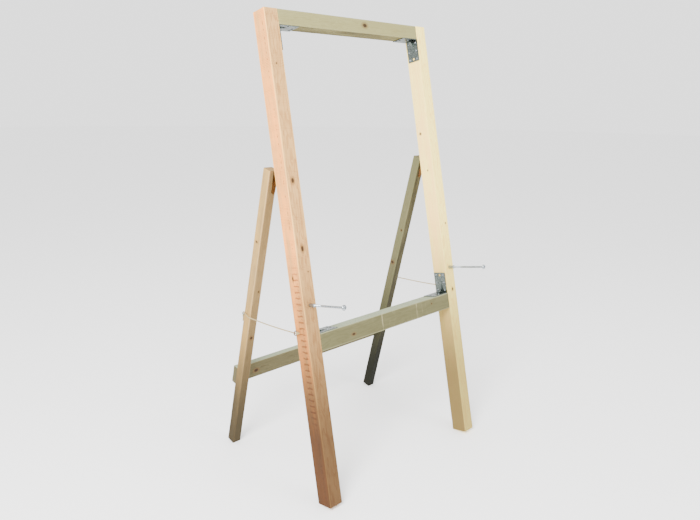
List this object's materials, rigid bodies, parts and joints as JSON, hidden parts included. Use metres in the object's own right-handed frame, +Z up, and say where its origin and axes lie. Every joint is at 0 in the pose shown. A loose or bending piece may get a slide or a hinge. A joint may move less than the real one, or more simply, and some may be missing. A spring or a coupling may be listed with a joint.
{
  "type": "display easel",
  "caption": "Folding timber A-frame easel: leaning front frame with top and lower rails, peg bolts to carry the load, hinged rear legs with a crossbar and restraint ropes.",
  "frame": {"origin": "floor, in the middle of the width and depth of the open easel, ropes left out", "axes": "+Z up, -Y to the front where the peg bolts stand out, +X to the right of someone standing in front and facing the easel"},
  "size_m": [0.904, 0.6862, 1.7743],
  "materials": {
    "stile_timber": "rough sawn softwood, peach to pink, with a redder foot",
    "treated_timber": "pressure-treated softwood, olive green to tan",
    "galvanised_steel": "galvanised, slightly dull",
    "brassed_steel": "yellow-passivated, worn",
    "bright_steel": "bright zinc plated",
    "rope": "laid cream cord"
  },
  "bodies": {
    "front_frame": {"bracket_lower_left": "galvanised_steel", "bracket_lower_right": "galvanised_steel", "bracket_screw_lower_left_1": "bright_steel", "bracket_screw_lower_left_2": "bright_steel", "bracket_screw_lower_left_3": "bright_steel", "bracket_screw_lower_left_4": "bright_steel", "bracket_screw_lower_left_5": "bright_steel", "bracket_screw_lower_left_6": "bright_steel", "bracket_screw_lower_right_1": "bright_steel", "bracket_screw_lower_right_2": "bright_steel", "bracket_screw_lower_right_3": "bright_steel", "bracket_screw_lower_right_4": "bright_steel", "bracket_screw_lower_right_5": "bright_steel", "bracket_screw_lower_right_6": "bright_steel", "bracket_screw_top_left_1": "bright_steel", "bracket_screw_top_left_2": "bright_steel", "bracket_screw_top_left_3": "bright_steel", "bracket_screw_top_left_4": "bright_steel", "bracket_screw_top_left_5": "bright_steel", "bracket_screw_top_left_6": "bright_steel", "bracket_screw_top_right_1": "bright_steel", "bracket_screw_top_right_2": "bright_steel", "bracket_screw_top_right_3": "bright_steel", "bracket_screw_top_right_4": "bright_steel", "bracket_screw_top_right_5": "bright_steel", "bracket_screw_top_right_6": "bright_steel", "bracket_top_left": "galvanised_steel", "bracket_top_right": "galvanised_steel", "hinge_pin_left": "brassed_steel", "hinge_pin_right": "brassed_steel", "hinge_screw_stile_left_1": "brassed_steel", "hinge_screw_stile_left_2": "brassed_steel", "hinge_screw_stile_right_1": "brassed_steel", "hinge_screw_stile_right_2": "brassed_steel", "hinge_stile_leaf_left": "brassed_steel", "hinge_stile_leaf_right": "brassed_steel", "peg_bolt_left": "bright_steel", "peg_bolt_right": "bright_steel", "peg_nut_left": "bright_steel", "peg_nut_right": "bright_steel", "rail_lower": "treated_timber", "rail_top": "treated_timber", "rope_left": "rope", "rope_right": "rope", "stile_eye_left": "brassed_steel", "stile_eye_right": "brassed_steel", "stile_left": "stile_timber", "stile_right": "stile_timber"},
    "rear_frame": {"crossbar": "treated_timber", "hinge_leg_leaf_left": "brassed_steel", "hinge_leg_leaf_right": "brassed_steel", "hinge_screw_leg_left_1": "brassed_steel", "hinge_screw_leg_left_2": "brassed_steel", "hinge_screw_leg_right_1": "brassed_steel", "hinge_screw_leg_right_2": "brassed_steel", "leg_eye_left": "galvanised_steel", "leg_eye_right": "galvanised_steel", "leg_left": "treated_timber", "leg_right": "treated_timber"}
  },
  "joints": [
    {"name": "rear_frame_hinge", "type": "hinge", "parent": "front_frame", "child": "rear_frame", "pos_m": [0, 0.01437, 1.19786], "axis": [-1, 0, 0], "range_deg": [0, 25.3], "deforming": ["rope_left", "rope_right"]}
  ]
}
